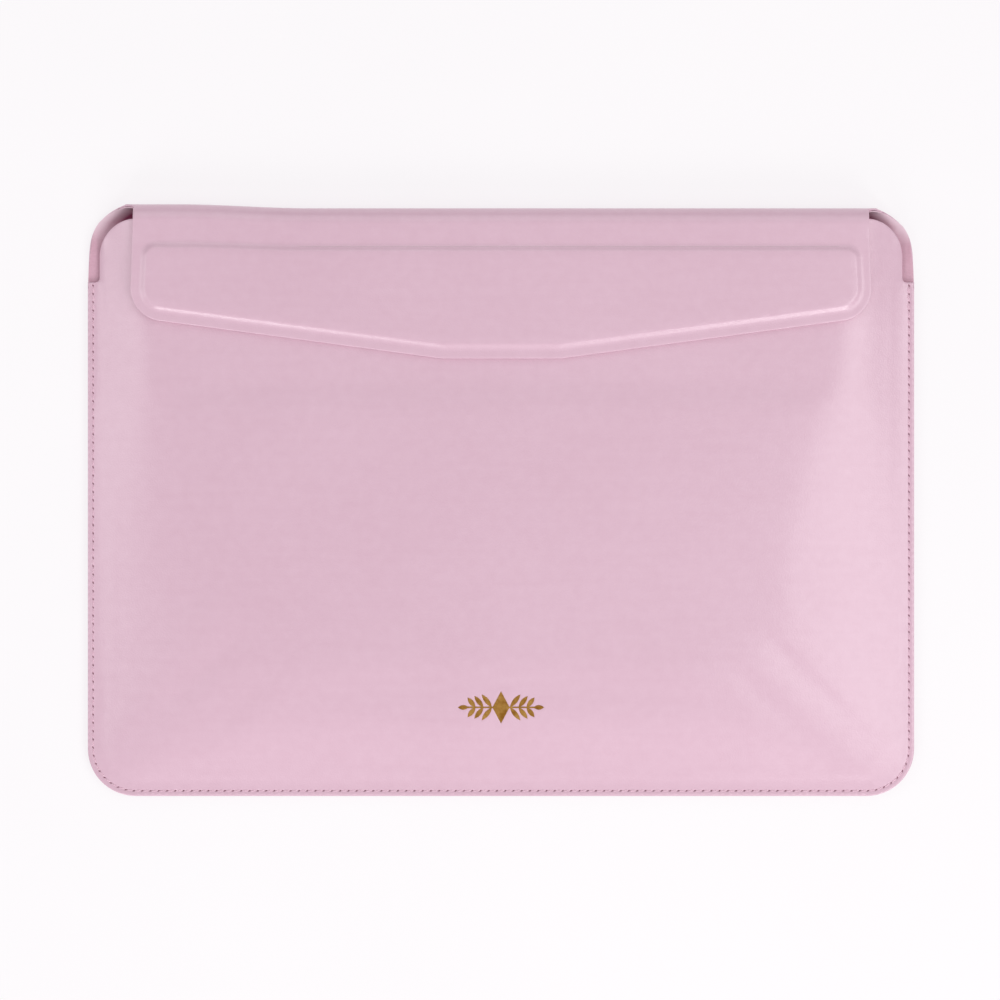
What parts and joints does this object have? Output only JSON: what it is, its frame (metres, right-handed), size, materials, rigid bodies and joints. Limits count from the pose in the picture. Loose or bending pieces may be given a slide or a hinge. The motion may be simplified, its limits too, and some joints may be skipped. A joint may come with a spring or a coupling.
{
  "type": "laptop sleeve",
  "caption": "Slim padded laptop sleeve in pink leathercloth, open at the top, with a wide pointed flap that folds over the mouth and holds by hidden magnets.",
  "frame": {"origin": "middle of the footprint, on the flat underside of the back that the sleeve lies on", "axes": "+X to the right along the long side, +Y from the sewn foot to the fold of the flap, +Z out of the front"},
  "size_m": [0.33, 0.236, 0.015],
  "materials": {
    "leathercloth": "smooth, low sheen, fine grain",
    "lining": "brushed microfibre",
    "board": "plain fibre board",
    "foam": "fine closed cell foam",
    "thread": "waxed polyester thread",
    "keeper_steel": "plain steel sheet",
    "magnet": "nickel plated",
    "gold_foil": "hot stamped foil"
  },
  "bodies": {
    "sleeve_body": {"back_outer_leather": "leathercloth", "back_board": "board", "back_foam": "foam", "back_lining": "lining", "front_lining": "lining", "front_foam": "foam", "front_board": "board", "keeper_plate_1": "keeper_steel", "keeper_plate_2": "keeper_steel", "keeper_plate_3": "keeper_steel", "keeper_plate_4": "keeper_steel", "mouth_edge_strip": "leathercloth", "front_outer_leather": "leathercloth", "seam_needle_thread": "thread", "seam_bobbin_thread": "thread", "foil_ornament": "gold_foil"},
    "fold_lower": {"fold_lower_leather": "leathercloth", "fold_lower_lining": "lining"},
    "fold_upper": {"fold_upper_leather": "leathercloth", "fold_upper_lining": "lining"},
    "flap": {"flap_outer_leather": "leathercloth", "flap_board": "board", "flap_magnet_1": "magnet", "flap_magnet_2": "magnet", "flap_magnet_3": "magnet", "flap_magnet_4": "magnet", "flap_lining": "lining"}
  },
  "joints": [
    {"name": "back_crease", "type": "hinge", "parent": "sleeve_body", "child": "fold_lower", "pos_m": [0, 0.1145, 0.00105], "axis": [-1, 0, 0], "range_deg": [0, 58.5]},
    {"name": "spine_crease", "type": "hinge", "parent": "fold_lower", "child": "fold_upper", "pos_m": [0, 0.11785, 0.00685], "axis": [-1, 0, 0], "range_deg": [0, 58.5]},
    {"name": "flap_crease", "type": "hinge", "parent": "fold_upper", "child": "flap", "pos_m": [0, 0.1145, 0.01265], "axis": [-1, 0, 0], "range_deg": [0, 58.5]}
  ],
  "couplings": [
    {"joint": "back_crease", "follows": "spine_crease", "ratio": 1},
    {"joint": "flap_crease", "follows": "spine_crease", "ratio": 1}
  ]
}
